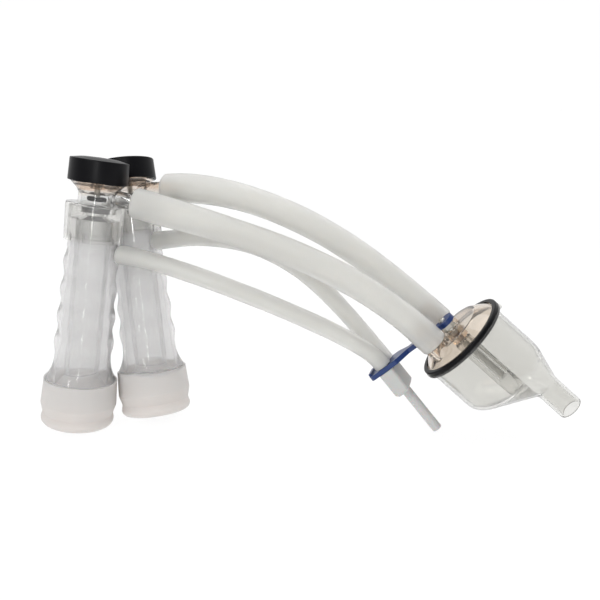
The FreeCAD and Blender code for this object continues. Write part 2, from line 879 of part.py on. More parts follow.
def make_claw_dome():
    body = new_body("claw_dome")
    rim = "claw_rim + dome_gap"
    revolve(body, "outside", [
        ("stud_radius + stud_clearance", rim),
        ("flange_radius", rim),
        ("flange_radius", f"{rim} + flange_thickness"),
        ("dome_step_radius", f"{rim} + flange_thickness", "dome_arc"),
        ("dome_shoulder_radius", "claw_rim + dome_shoulder_height"),
        ("dome_boss_radius", "claw_rim + dome_crown_height"),
        ("dome_boss_radius", "claw_rim + dome_boss_height"),
        ("stud_radius + stud_clearance", "claw_rim + dome_boss_height"),
    ])
    for side in ("left", "right"):
        foot = raise_disc(body, f"{side}_foot", "nipple_foot_radius", rim, "claw_rim + nipple_foot_height")
        polar_offset(foot.Profile[0], "nipple_circle", f"{side}_nipple_angle")
        nipple = raise_disc(body, f"{side}_nipple", "nipple_radius", rim, "claw_rim + nipple_top")
        polar_offset(nipple.Profile[0], "nipple_circle", f"{side}_nipple_angle")
    revolve(body, "inside", [
        ("dome_boss_radius", f"{rim} - OVERRUN"),
        ("dome_step_radius - dome_wall", f"{rim} - OVERRUN"),
        ("dome_step_radius - dome_wall", rim, "dome_arc"),
        ("dome_shoulder_radius - dome_wall", "claw_rim + dome_shoulder_height - dome_wall"),
        ("dome_boss_radius", "claw_rim + dome_crown_height - dome_wall"),
    ], "Groove")
    doc.recompute()
    for side in ("left", "right"):
        bore = drill_disc(body, f"{side}_bore", "nipple_bore", rim, "claw_rim + nipple_top + OVERRUN")
        polar_offset(bore.Profile[0], "nipple_circle", f"{side}_nipple_angle")
    body.Placement = claw_place()
    return body


def make_claw_seal():
    body = new_body("claw_seal")
    revolve(body, "band", [
        ("band_lip_radius", "claw_rim - band_low"),
        ("band_outer", "claw_rim - band_low"),
        ("band_outer", "claw_rim + band_high"),
        ("band_lip_radius", "claw_rim + band_high"),
        ("band_lip_radius", "claw_rim + dome_gap + flange_thickness + band_gap"),
        ("flange_radius + band_gap", "claw_rim + dome_gap + flange_thickness + band_gap"),
        ("flange_radius + band_gap", "claw_rim - flange_thickness - band_gap"),
        ("band_lip_radius", "claw_rim - flange_thickness - band_gap"),
    ])
    soften(body, "edges", "band_round", [
        ("band_outer", "claw_rim - band_low"),
        ("band_outer", "claw_rim + band_high"),
    ])
    body.Placement = claw_place()
    return body


def make_stud():
    body = new_body("tie_bolt")
    revolve(body, "rod", [
        ("axis", "stud_bottom"),
        ("stud_radius - stud_bevel", "stud_bottom"),
        ("stud_radius", "stud_bottom + stud_bevel"),
        ("stud_radius", "claw_rim + stud_top - stud_bevel"),
        ("stud_radius - stud_bevel", "claw_rim + stud_top"),
        ("axis", "claw_rim + stud_top"),
    ])
    body.Placement = claw_place()
    return body


# Heights of the stack on the dome's boss.
WASHER_FOOT = "claw_rim + dome_boss_height + stack_gap"
NUT_FOOT = f"{WASHER_FOOT} + washer_thickness + stack_gap"
BRACKET_FOOT = f"{NUT_FOOT} + nut_thickness + stack_gap"


def make_nut():
    """Hexagon nut on the claw's axis, its upper corners chamfered."""
    body = new_body("tie_nut")
    bottom = NUT_FOOT
    sketch = sketch_on(body, "hexagon", "XY_Plane", bottom)
    corner = size("nut_width") / math.sqrt(3)
    turns = [math.radians(60 * k) for k in range(6)]
    points = [Vector(corner * math.cos(turn), corner * math.sin(turn), 0) for turn in turns]
    for index in range(6):
        sketch.addGeometry(Part.LineSegment(points[index], points[(index + 1) % 6]), False)
    rim = sketch.addGeometry(Part.Circle(Vector(0, 0, 0), Vector(0, 0, 1), corner), True)
    sketch.addConstraint(Sketcher.Constraint("Coincident", rim, 3, -1, 1))
    for index in range(6):
        sketch.addConstraint(Sketcher.Constraint("Coincident", index, 2, (index + 1) % 6, 1))
        sketch.addConstraint(Sketcher.Constraint("PointOnObject", index, 1, rim))
    for index in range(5):
        sketch.addConstraint(Sketcher.Constraint("Equal", index, index + 1))
    sketch.addConstraint(Sketcher.Constraint("PointOnObject", 0, 1, -1))
    side = sketch.addConstraint(Sketcher.Constraint("Distance", 1, corner))
    sketch.setExpression(f"Constraints[{side}]", "sizes.nut_width / sqrt(3)")
    block = feature(body, "Pad", "block", sketch)
    block.Length = size("nut_thickness")
    block.setExpression("Length", bound("nut_thickness"))
    drill_disc(body, "thread", "nut_bore", bottom, f"{bottom} + nut_thickness")
    top = f"{bottom} + nut_thickness"
    corner_cut = [
        ("nut_bevel_radius", top),
        ("nut_width", f"{top} - nut_bevel_drop"),
        ("nut_width", f"{top} + OVERRUN"),
        ("nut_bevel_radius", f"{top} + OVERRUN"),
    ]
    revolve(body, "corners", corner_cut, "Groove")
    body.Placement = claw_place()
    return body


def make_washer():
    body = new_body("tie_washer")
    raise_disc(body, "disc", "washer_radius", WASHER_FOOT, f"{WASHER_FOOT} + washer_thickness")
    drill_disc(body, "hole", "stud_radius + stud_clearance", WASHER_FOOT, f"{WASHER_FOOT} + washer_thickness")
    body.Placement = claw_place()
    return body


def bracket_place():
    """Bracket frame: +X along the arm from the stud's axis, +Z along the claw's axis."""
    turn = Placement(Vector(0, 0, size(BRACKET_FOOT)), Rotation(Vector(0, 0, 1), size("bracket_angle")))
    return claw_place().multiply(turn)


def arm_place():
    """The arm's own plane, which rises and twists a little from the bend on."""
    rise = Rotation(Vector(0, 1, 0), -size("bracket_slope"))
    twist = Rotation(Vector(1, 0, 0), size("bracket_twist"))
    return Placement(Vector(size("bracket_bend"), 0, 0), rise.multiply(twist))


def slab(place, corners, thickness):
    """Flat plate. A corner is (x, y), or (x, y, radius) when an arc bulging outwards leads on."""
    points = [Vector(corner[0], corner[1], 0) for corner in corners]
    edges = []
    for index, start in enumerate(points):
        end = points[(index + 1) % len(points)]
        if len(corners[index]) == 3:
            edges.append(arc_between(start, end, corners[index][2]).toShape())
        else:
            edges.append(Part.makeLine(start, end))
    plate = Part.Face(Part.Wire(edges)).extrude(Vector(0, 0, thickness))
    plate.Placement = place
    return plate


def make_bracket():
    thick = size("bracket_thickness")
    half = size("bracket_width") / 2
    pad_half = size("bracket_pad_width") / 2
    corner = size("bracket_corner")
    taper_start = size("bracket_taper_start")
    taper_end = size("bracket_taper_end")
    pad_middle = size("bracket_length - bracket_bend")
    end = pad_middle + size("bracket_end_reach")
    back = Vector(-size("bracket_hub_reach"), 0, 0)
    hub = Part.makeCylinder(size("bracket_hub_radius"), thick, back)
    neck = Part.makeBox(size("bracket_bend + bracket_hub_reach"), 2 * half, thick, back - Vector(0, half, 0))
    arm = slab(arm_place(), [
        (-OVERRUN, -half),
        (taper_start, -half),
        (taper_end, -pad_half),
        (end - corner, -pad_half, corner),
        (end, -pad_half + corner),
        (end, pad_half - corner, corner),
        (end - corner, pad_half),
        (taper_end, pad_half),
        (taper_start, half),
        (-OVERRUN, half),
    ], thick)
    lip_width = size("bracket_lip_width")
    lip = Part.makeBox(lip_width, 2 * (pad_half - corner), thick + size("bracket_lip"))
    lip.Placement = arm_place().multiply(Placement(Vector(end - lip_width, corner - pad_half, 0), Rotation()))
    solid = hub.fuse([neck, arm, lip])
    stud_hole = Part.makeCylinder(size("stud_radius + stud_clearance"), 3 * thick, Vector(0, 0, -thick))
    holes = [stud_hole]
    for sign in (-1, 1):
        hole = Part.makeCylinder(size("bracket_hole_radius"), 3 * thick)
        middle = Vector(pad_middle, sign * size("manifold_spread") / 2, -thick)
        hole.Placement = arm_place().multiply(Placement(middle, Rotation()))
        holes.append(hole)
    item = shaped("hanger_bracket", solid.cut(holes).removeSplitter())
    item.Placement = bracket_place()
    return item


# ---- pulse manifold ----

def manifold_place():
    """Manifold frame: origin in the middle of the bracket's pad, -Z down the stem.

    +Y points along the pair of nipples, across the bracket's arm.
    """
    middle = Vector(size("bracket_length - bracket_bend"), 0, size("bracket_thickness") / 2)
    return bracket_place().multiply(arm_place()).multiply(Placement(middle, Rotation()))


def make_manifold():
    drop = size("manifold_drop")
    spread = size("manifold_spread") / 2
    tall = size("manifold_height")
    width = size("manifold_width")
    length = size("manifold_length")
    block = Part.makeBox(width, length, tall, Vector(-width / 2, -length / 2, -drop - tall))
    upright = [edge for edge in block.Edges if edge.BoundBox.ZLength > tall / 2]
    block = block.makeFillet(size("manifold_round"), upright)
    lower = [edge for edge in block.Edges if edge.BoundBox.ZMax < -drop - tall / 2]
    block = block.makeChamfer(size("manifold_chamfer"), lower).Solids[0]
    down = Vector(0, 0, -1)
    across = Vector(0, 1, 0)
    reach = size("stem_reach")
    root = Vector(0, 0, -drop - OVERRUN)
    stem = Part.makeCylinder(size("stem_outer"), reach + root.z, root, down)
    tip = [edge for edge in stem.Edges if edge.BoundBox.ZMax < -reach / 2]
    stem = stem.makeFillet(size("stem_outer - stem_bore") * 0.8, tip).Solids[0]
    gallery = Vector(0, 0, -size("gallery_depth"))
    channels = [
        Part.makeCylinder(size("stem_bore"), reach, gallery, down),
        Part.makeCylinder(size("stem_bore"), 2 * spread, gallery - across * spread, across),
    ]
    nipples = []
    top = size("manifold_nipple_top")
    for sign in (-1, 1):
        foot = across * sign * spread + Vector(0, 0, -drop - size("manifold_nipple_root"))
        nipples.append(Part.makeCylinder(size("pulse_nipple_radius"), top - foot.z, foot))
        bore_foot = across * sign * spread + gallery
        channels.append(Part.makeCylinder(size("pulse_nipple_bore"), top + OVERRUN - gallery.z, bore_foot))
    solid = block.fuse([stem] + nipples).cut(channels)
    item = shaped("pulse_manifold", solid.removeSplitter())
    item.Placement = manifold_place()
    return item


# ---- tubes ----

def bend_path(start, start_way, start_straight, start_bend, end, end_way, end_straight, end_bend):
    """Tube centre line: straight over each nipple, one smooth Bezier bend between them."""
    leave = start + start_way * start_straight
    arrive = end + end_way * end_straight
    bend = Part.BezierCurve()
    bend.setPoles([leave, leave + start_way * start_bend, arrive + end_way * end_bend, arrive])
    edges = [Part.makeLine(start, leave), bend.toShape(), Part.makeLine(arrive, end)]
    return Part.Wire(edges)


def sweep_round(path, radius):
    start = path.Edges[0].valueAt(path.Edges[0].FirstParameter)
    way = path.Edges[0].tangentAt(path.Edges[0].FirstParameter)
    ring = Part.Wire([Part.makeCircle(radius, start, way)])
    return path.makePipeShell([ring], True, True)


def make_tube(label, radius, bore, path):
    outer = sweep_round(path, size(radius))
    inner = sweep_round(path, size(bore))
    return shaped(label, outer.cut(inner))


def cup_port(side, height, slope, reach):
    """Point and direction on one of a cup's side nozzles."""
    angle = math.radians(size(slope))
    way = Vector(math.cos(angle), 0, -math.sin(angle))
    place = cup_place(side)
    point = place.multVec(Vector(0, 0, size(height)) + way * size(reach))
    return point, place.Rotation.multVec(way)


def make_milk_tube(side):
    start, start_way = cup_port(side, "nozzle_height", "nozzle_slope", f"{side}_milk_tube_start")
    place = claw_place()
    turn = math.radians(size(f"{side}_nipple_angle"))
    circle_radius = size("nipple_circle")
    foot = Vector(circle_radius * math.cos(turn), circle_radius * math.sin(turn),
                  size("claw_rim + nipple_foot_height + tube_end_gap"))
    end = place.multVec(foot)
    end_way = place.Rotation.multVec(Vector(0, 0, 1))
    over_nozzle = size(f"milk_tube_straight - {side}_milk_tube_start")
    over_nipple = size("nipple_top - nipple_foot_height")
    path = bend_path(start, start_way, over_nozzle, size(f"{side}_milk_cup_bend"),
                     end, end_way, over_nipple, size(f"{side}_milk_claw_bend"))
    return make_tube(f"{side}_milk_tube", "milk_tube_radius", "milk_tube_bore", path)


def make_pulse_tube(side):
    start, start_way = cup_port(side, "pulse_nipple_height", "pulse_nipple_slope", "pulse_tube_start")
    place = manifold_place()
    sign = -1 if side == "right" else 1
    end = place.multVec(Vector(0, sign * size("manifold_spread") / 2, size("pulse_tube_end")))
    end_way = place.Rotation.multVec(Vector(0, 0, 1))
    over_nipple = size("pulse_nipple_reach - pulse_tube_start")
    over_manifold = size("manifold_nipple_top - pulse_tube_end")
    path = bend_path(start, start_way, over_nipple, size(f"{side}_pulse_cup_bend"),
                     end, end_way, over_manifold, size(f"{side}_pulse_claw_bend"))
    return make_tube(f"{side}_pulse_tube", "pulse_tube_radius", "pulse_tube_bore", path)


# ---- build, check and write ----

def build():
    fill_sheet()
    parts = []
    for side in ("left", "right"):
        makers = (make_liner, make_shell, make_collar, make_valve_body, make_valve_seat, make_plunger,
                  make_stem, make_guide, make_stem_seal, make_cap, make_milk_tube, make_pulse_tube)
        parts += [maker(side) for maker in makers]
    parts += [make_claw_bowl(), make_claw_dome(), make_claw_seal(), make_stud()]
    parts += [make_washer(), make_nut(), make_bracket(), make_manifold()]
    doc.recompute()
    return parts


def check(parts):
    for item in doc.Objects:
        if "Invalid" in item.State or "Error" in item.State:
            raise RuntimeError(f"{item.Name} failed: {item.State}")
    for part in parts:
        if part.Shape.isNull() or not part.Shape.isValid():
            raise RuntimeError(f"{part.Label}: bad shape")
        if len(part.Shape.Solids) != 1:
            raise RuntimeError(f"{part.Label}: {len(part.Shape.Solids)} solids")


def write(parts):
    os.makedirs("parts", exist_ok=True)
    for part in parts:
        part.Shape.exportStep(os.path.join("parts", f"{part.Label}.step"))
        print(f"{part.Label}: {part.Shape.Volume / 1000:.2f} cm3")


finished = build()
check(finished)
write(finished)
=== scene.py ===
"""Looks of the milking cluster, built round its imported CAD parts.

Lengths in the helpers are metres. MM turns the millimetre sizes below into metres.
"""
import json
import math

import bpy
import numpy as np
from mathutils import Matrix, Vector


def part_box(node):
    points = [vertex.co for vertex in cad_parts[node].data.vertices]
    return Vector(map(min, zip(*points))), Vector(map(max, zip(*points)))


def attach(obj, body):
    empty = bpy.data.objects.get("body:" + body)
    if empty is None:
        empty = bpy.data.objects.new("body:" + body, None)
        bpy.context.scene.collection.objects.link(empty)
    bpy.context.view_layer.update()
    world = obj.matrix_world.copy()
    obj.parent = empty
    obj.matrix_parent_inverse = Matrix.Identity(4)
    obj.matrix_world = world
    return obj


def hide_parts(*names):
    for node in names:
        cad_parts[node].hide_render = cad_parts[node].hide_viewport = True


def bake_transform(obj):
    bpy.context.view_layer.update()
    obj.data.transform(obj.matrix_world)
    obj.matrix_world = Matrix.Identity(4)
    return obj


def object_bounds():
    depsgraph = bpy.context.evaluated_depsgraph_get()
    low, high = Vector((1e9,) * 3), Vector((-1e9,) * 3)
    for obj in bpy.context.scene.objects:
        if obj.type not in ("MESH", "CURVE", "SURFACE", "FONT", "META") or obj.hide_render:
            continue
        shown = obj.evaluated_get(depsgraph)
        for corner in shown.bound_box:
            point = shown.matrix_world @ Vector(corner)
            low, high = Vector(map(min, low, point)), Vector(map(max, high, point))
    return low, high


MM = 0.001
SIDES = ("left", "right")

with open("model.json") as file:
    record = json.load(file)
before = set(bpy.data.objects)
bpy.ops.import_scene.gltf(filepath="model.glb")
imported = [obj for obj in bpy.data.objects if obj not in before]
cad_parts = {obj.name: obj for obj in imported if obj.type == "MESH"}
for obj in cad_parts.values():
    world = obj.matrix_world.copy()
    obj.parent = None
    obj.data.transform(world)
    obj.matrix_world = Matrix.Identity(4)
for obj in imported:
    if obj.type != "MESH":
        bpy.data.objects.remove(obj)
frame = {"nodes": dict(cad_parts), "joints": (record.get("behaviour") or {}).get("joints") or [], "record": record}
size_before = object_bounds()
nodes = frame["nodes"]
joints = {joint["name"]: joint for joint in frame["joints"]}
mounts = {mount["name"]: mount for mount in frame["record"]["mounts"]}


# ---- reading the CAD meshes ----

def mesh_arrays(node):
    """Corner points (n, 3) and triangles (m, 3) of a CAD node."""
    mesh = nodes[node].data
    mesh.calc_loop_triangles()
    points = np.zeros(len(mesh.vertices) * 3)
    mesh.vertices.foreach_get("co", points)
    triangles = np.zeros(len(mesh.loop_triangles) * 3, int)
    mesh.loop_triangles.foreach_get("vertices", triangles)
    return points.reshape(-1, 3), triangles.reshape(-1, 3)


def section(points, triangles, origin, normal):
    """Ends of the line pieces where a plane cuts the mesh, as an array (k, 2, 3)."""
    height = (points - origin) @ normal
    pieces = []
    for a, b in ((0, 1), (1, 2), (2, 0)):
        one, two = triangles[:, a], triangles[:, b]
        crosses = (height[one] > 0) != (height[two] > 0)
        share = height[one] / np.where(crosses, height[one] - height[two], 1.0)
        place = points[one] + share[:, None] * (points[two] - points[one])
        pieces.append((crosses, place))
    ends = []
    for first, second in ((0, 1), (1, 2), (2, 0)):
        both = pieces[first][0] & pieces[second][0]
        ends.append(np.stack([pieces[first][1][both], pieces[second][1][both]], axis=1))
    return np.concatenate(ends)


def flat_ends(points, triangles):
    """The tube's two flat end rings: (centre, direction into the tube, bore radius, outer radius)."""
    corner = points[triangles]
    cross = np.cross(corner[:, 1] - corner[:, 0], corner[:, 2] - corner[:, 0])
    area = np.linalg.norm(cross, axis=1) / 2
    normal = cross / np.maximum(area, 1e-15)[:, None] / 2
    keys = [tuple(row) for row in np.round(normal, 3)]
    totals = {}
    for key, piece in zip(keys, area):
        totals[key] = totals.get(key, 0.0) + piece
    rings = []
    for key in sorted(totals, key=totals.get)[-2:]:
        picked = np.array([k == key for k in keys])
        middle = corner[picked].mean(axis=1)
        centre = (middle * area[picked][:, None]).sum(axis=0) / area[picked].sum()
        away = np.linalg.norm(corner[picked].reshape(-1, 3) - centre, axis=1)
        rings.append((centre, -normal[picked].mean(axis=0), away.min(), away.max()))
    return rings


# A cut piece belongs to a tube when it is nearer to the tube's middle than this many outer radii.
TUBE_REACH = 1.4


def centre_line(node, step):
    """Points along the middle of a tube, from its cup end (low x) to its claw end, and its two radii."""
    points, triangles = mesh_arrays(node)
    start, end = sorted(flat_ends(points, triangles), key=lambda ring: ring[0][0])
    outer = start[3]
    line = [start[0]]
    way = start[1] / np.linalg.norm(start[1])
    while np.linalg.norm(end[0] - line[-1]) > 1.5 * step:
        guess = line[-1] + way * step
        cut = section(points, triangles, guess, way)
        near = np.linalg.norm(cut.mean(axis=1) - guess, axis=1) < TUBE_REACH * outer
        cut = cut[near]
        length = np.linalg.norm(cut[:, 1] - cut[:, 0], axis=1)
        middle = (cut.mean(axis=1) * length[:, None]).sum(axis=0) / length.sum()
        way = (middle - line[-1]) / np.linalg.norm(middle - line[-1])
        line.append(middle)
    line.append(end[0])
    return np.array(line), start[2], outer


# ---- building meshes ----

def add_mesh(name, points, faces, sharp_angle=35):
    """A smooth-shaded mesh object whose edges stay sharp above sharp_angle degrees."""
    mesh = bpy.data.meshes.new(name)
    mesh.from_pydata([tuple(point) for point in points], [], faces)
    mesh.validate()
    obj = bpy.data.objects.new(name, mesh)
    bpy.context.scene.collection.objects.link(obj)
    mesh.shade_smooth()
    mesh.set_sharp_from_angle(angle=math.radians(sharp_angle))
    return obj


def ring_faces(rings, around, closed_loop):
    """Quads joining rows of ring points; closed_loop also joins the last row to the first."""
    faces = []
    rows = rings if closed_loop else rings - 1
    for row in range(rows):
        upper = (row + 1) % rings
        for k in range(around):
            after = (k + 1) % around
            low, high = row * around, upper * around
            faces.append((low + k, low + after, high + after, high + k))
    return faces


def smoothstep(value, low, high):
    """0 below low, 1 above high and an easy S-curve between them."""
    share = np.clip((value - low) / (high - low), 0.0, 1.0)
    return share * share * (3 - 2 * share)


def frames_along(line):
    """Two unit vectors across the line at each of its points, turning as little as possible."""
    ways = np.gradient(line, axis=0)
    ways /= np.linalg.norm(ways, axis=1)[:, None]
    side = np.cross(ways[0], (0.0, 0.0, 1.0))
    side /= np.linalg.norm(side)
    sides = []
    for way in ways:
        side = side - way * (side @ way)
        side = side / np.linalg.norm(side)
        sides.append(side)
    sides = np.array(sides)
    return sides, np.cross(ways, sides)


SOFTENING_ROUNDS = 6


def even_line(line, count):
    """The same line with its small jitters evened out, as evenly spaced points, and their travel."""
    soft = line.copy()
    for _ in range(SOFTENING_ROUNDS):
        soft[1:-1] = (soft[:-2] + 2 * soft[1:-1] + soft[2:]) / 4
    travel = np.concatenate([[0.0], np.cumsum(np.linalg.norm(np.diff(soft, axis=0), axis=1))])
    even = np.linspace(0.0, travel[-1], count)
    return np.stack([np.interp(even, travel, soft[:, axis]) for axis in range(3)], axis=1), even


# ---- hoses ----

HOSE_AROUND = 72
HOSE_ROUGH_STEP = 2 * MM
HOSE_STEP = 1.2 * MM
LIP = 0.8 * MM
LIP_BORE = 0.4

# The cup end is stretched by the flare over the nozzle, and the claw end by a share of it.
CLAW_FLARE = 0.4
BORE_FLARE = 0.6
FULL_FLARE = 0.1
CLAW_FLARE_REACH = 0.5

# Bending flattens a hose a little, up to a limit.
FLATTENING = 0.9
MOST_FLAT = 0.03

# Moulding leaves two faint sets of waves: (depth, length along the hose).
LONG_WAVE = (0.05 * MM, 7.3 * MM)
TWISTED_WAVE = (0.04 * MM, 19 * MM)
WAVE_LEAN = 2.1
WAVE_LOBES = 3


def lip_cut(along, total):
    """How far the rounded lip has drawn the wall in, from 1 at an end to 0 past the lip."""
    share = min(min(along, total - along) / LIP, 1.0)
    return 1 - math.sqrt(max(0.0, 1 - (1 - share) ** 2))


def hose_swell(along, total, flare, flare_length):
    """How much a hose is stretched by the nozzle inside its cup end and the nipple in its claw end."""
    cup_end = 1 - smoothstep(along, FULL_FLARE * flare_length, flare_length)
    claw_start = total - CLAW_FLARE_REACH * flare_length
    claw_end = smoothstep(along, claw_start, total - FULL_FLARE * flare_length)
    return flare * cup_end + CLAW_FLARE * flare * claw_end


def hose_ripple(along, angles):
    """Faint waves on the outside of a moulded hose."""
    long_depth, long_length = LONG_WAVE
    twist_depth, twist_length = TWISTED_WAVE
    ripple = long_depth * np.sin(along / long_length + WAVE_LEAN * np.cos(angles))
    return ripple + twist_depth * np.sin(WAVE_LOBES * angles + along / twist_length)


def hose(side, kind, flare, flare_length):
    """A milk or pulse hose: rounded lips, a stretched cup end and a little flattening in its bend."""
    node = f"{side}_{kind}_tube"
    rough_line, bore, outer = centre_line(node, HOSE_ROUGH_STEP)
    total = np.linalg.norm(np.diff(rough_line, axis=0), axis=1).sum()
    line, travel = even_line(rough_line, int(total / HOSE_STEP))
    across, up = frames_along(line)
    turning = np.linalg.norm(np.gradient(np.gradient(line, travel, axis=0), travel, axis=0), axis=1)
    angles = np.linspace(0, 2 * math.pi, HOSE_AROUND, endpoint=False)
    outside, inside = [], []
    for index, along in enumerate(travel):
        edge = lip_cut(along, total)
        swell = hose_swell(along, total, flare, flare_length)
        flat = min(MOST_FLAT, FLATTENING * turning[index] * outer)
        oval = flat * outer * np.cos(2 * angles) / 2
        radius = outer + swell + oval + hose_ripple(along, angles) - edge * LIP
        outside.append((index, radius))
        inside.append((index, np.full(HOSE_AROUND, bore + BORE_FLARE * swell + edge * LIP_BORE * LIP)))
    points = []
    for index, radius in outside + inside[::-1]:
        spoke = np.cos(angles)[:, None] * across[index] + np.sin(angles)[:, None] * up[index]
        points += list(line[index] + radius[:, None] * spoke)
    obj = add_mesh(f"{node}_hose", points, ring_faces(2 * len(line), HOSE_AROUND, True))
    obj.data.materials.append(silicone_clear())
    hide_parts(node)
    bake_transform(obj)
    return obj


# ---- push caps ----

CAP_AROUND = 128
# Points this close in height count as level, and the middle of a turned part is this far off its axis.
HAIR = 0.1 * MM
ON_AXIS = 0.02 * MM

# The cap is hollow up to this share of its height.
CAP_ROOF = 0.706
ROOF_DOME = 0.6 * MM
ROOF_EDGE = 0.92
ROOF_CHAMFER = 1.2 * MM

# The crown starts at this share of the top radius, and flattens out at the second share.
CAP_CROWN = 0.93
CROWN_STEP = 0.15 * MM
CROWN_FLAT = 0.6
CROWN_DROP = 0.35 * MM
EDGE_BAND = 1.5 * MM

# A groove inside the foot snaps over the valve bowl's rim.
GROOVE_DEPTH = 0.5 * MM
GROOVE_MIDDLE = 1.4 * MM
GROOVE_TOP = 2.2 * MM


def on_axis(side):
    """A cup's axis: a point on it and its upward direction."""
    joint = joints[f"{side}_collar_twist"]
    way = Vector(joint["axis"]).normalized()
    return Vector(joint["pos_m"]), way if way.z > 0 else -way


def across_axis(way):
    """Two unit vectors square to an axis."""
    one = way.cross(Vector((0, 1, 0))).normalized()
    return one, way.cross(one)


def radii_and_heights(node, foot, way):
    """Distance from the axis and height along it of each point of a CAD node."""
    points = mesh_arrays(node)[0] - np.array(foot)
    height = points @ np.array(way)
    away = np.linalg.norm(points - height[:, None] * np.array(way), axis=1)
    return away, height


def rounded(corners, steps=6):
    """A closed profile from (corner, rounding) pairs: a corner with a rounding becomes a short arc."""
    points = []
    count = len(corners)
    for index, (corner, rounding) in enumerate(corners):
        here = np.array(corner)
        if not rounding:
            points.append(here)
            continue
        before = np.array(corners[index - 1][0]) - here
        after = np.array(corners[(index + 1) % count][0]) - here
        start = here + before / np.linalg.norm(before) * rounding
        end = here + after / np.linalg.norm(after) * rounding
        for step in range(steps + 1):
            share = step / steps
            points.append((1 - share) ** 2 * start + 2 * share * (1 - share) * here + share ** 2 * end)
    return points


def lathe(name, profile, foot, way, around):
    """Turn a closed (radius, height) profile about an axis."""
    one, two = across_axis(way)
    points = []
    for radius, height in profile:
        middle = foot + way * float(height)
        for k in range(around):
            angle = 2 * math.pi * k / around
            points.append(middle + float(radius) * (math.cos(angle) * one + math.sin(angle) * two))
    return add_mesh(name, points, ring_faces(len(profile), around, True), sharp_angle=40)


def cap_profile(away, height):
    """The cap's rounded section from its measured points, and the heights of its foot and top edge."""
    low, high = height.min(), height.max()
    foot_ring = away[height < low + HAIR]
    wide, bore = foot_ring.max(), foot_ring.min()
    edge = height[away > away.max() * CAP_CROWN].max()
    top_wide = away[height > edge - EDGE_BAND].max()
    roof = low + CAP_ROOF * (high - low)
    corners = [
        ((bore, low), 0.3 * MM),
        ((wide, low), 0.5 * MM),
        ((top_wide, edge), 0.75 * MM),
        ((CAP_CROWN * top_wide, edge + CROWN_STEP), 1.0 * MM),
        ((CROWN_FLAT * top_wide, high - CROWN_DROP), 3.0 * MM),
        ((ON_AXIS, high), 0),
        ((ON_AXIS, roof + ROOF_DOME), 0),
        ((ROOF_EDGE * bore, roof), 0),
        ((bore, roof - ROOF_CHAMFER), 0),
        ((bore, low + GROOVE_TOP), 0),
        ((bore + GROOVE_DEPTH, low + GROOVE_MIDDLE), 0),
    ]
    return rounded(corners), low, edge


def push_cap(side):
    """Soft rubber cap over a valve: drafted skirt, crisp top edge and a slightly domed crown."""
    node = f"{side}_valve_cap"
    foot, way = on_axis(side)
    profile, low, edge = cap_profile(*radii_and_heights(node, foot, way))
    cap = lathe(f"{node}_soft", profile, foot, way, CAP_AROUND)
    cap.data.materials.append(black_rubber())
    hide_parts(node)
    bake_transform(cap)
    return cap


# ---- claw bowl ----

BOWL_AROUND = 256
SUMP_HEIGHT = 27 * MM
# The sump's inside lies this share of a wall higher than its outside, so that its slanted wall keeps thick.
SUMP_WALL_SLANT = 0.4
PILLAR_RADIUS = 6.5 * MM
PILLAR_BORE = 2.6 * MM
PILLAR_BORE_FOOT = 52 * MM
PILLAR_FILLET = (0.8 * MM, 1.5 * MM)
PILLAR_CHAMFER = 0.5 * MM
PILLAR_GAP = 1 * MM
PILLAR_AROUND = 72
FLANGE_THICKNESS = 1.5 * MM
FLANGE_EDGE = 3 * MM
BELOW_FLANGE = 8 * MM
OUTLET_LIP = 0.5 * MM
LUG_RADIUS = 1.7 * MM
LUG_TIP_RADIUS = 1.5 * MM
LUG_ROUNDING = 0.5 * MM
LUG_REACH = 0.8 * MM
LUG_BELOW_RIM = 4.3 * MM
LUG_AROUND = 48


def claw_frame():
    """A point at the outlet's end, the way up to the dome, and the way up and away across it."""
    outlet = mounts["milk_outlet"]
    up = -Vector(outlet["axis"]).normalized()
    outward = (Vector((1, 0, 0)) - up * up.x).normalized()
    foot = Vector(outlet["pos_m"]) - up * outlet["dims"]["length_mm"] * MM / 2
    return foot, up, outward


def ring_points(foot, up, outward, rows, around):
    """Points of rings given as (centre offset, radius, height); a height may be a function of place."""
    sideways = up.cross(outward)
    points = []
    for offset, radius, height in rows:
        for k in range(around):
            angle = 2 * math.pi * k / around
            x = offset + radius * math.cos(angle)
            y = radius * math.sin(angle)
            level = height(x, y) if callable(height) else height
            points.append(foot + outward * float(x) + sideways * float(y) + up * float(level))
    return points


def bowl_sizes(foot, up, outward):
    """Radii, heights and offset of the bowl, measured on its CAD node."""
    points = mesh_arrays("claw_bowl")[0] - np.array(foot)
    height = points @ np.array(up)
    across = points @ np.array(outward)
    side = np.abs(points @ np.array(up.cross(outward)))
    rim = height.max()
    top = height > rim - HAIR
    flange = top & (side > side.max() - FLANGE_EDGE)
    below_flange = height < rim - BELOW_FLANGE
    low = height < OUTLET_LIP
    bore = np.hypot(across[low], side[low]).min()
    return {
        "rim": rim,
        "flange": side.max(),
        "wide": side[below_flange].max(),
        "lean": -across[flange].mean(),
        "bore": bore,
        "outlet": mounts["milk_outlet"]["dims"]["r_mm"] * MM,
        "neck": mounts["milk_outlet"]["dims"]["length_mm"] * MM,
    }


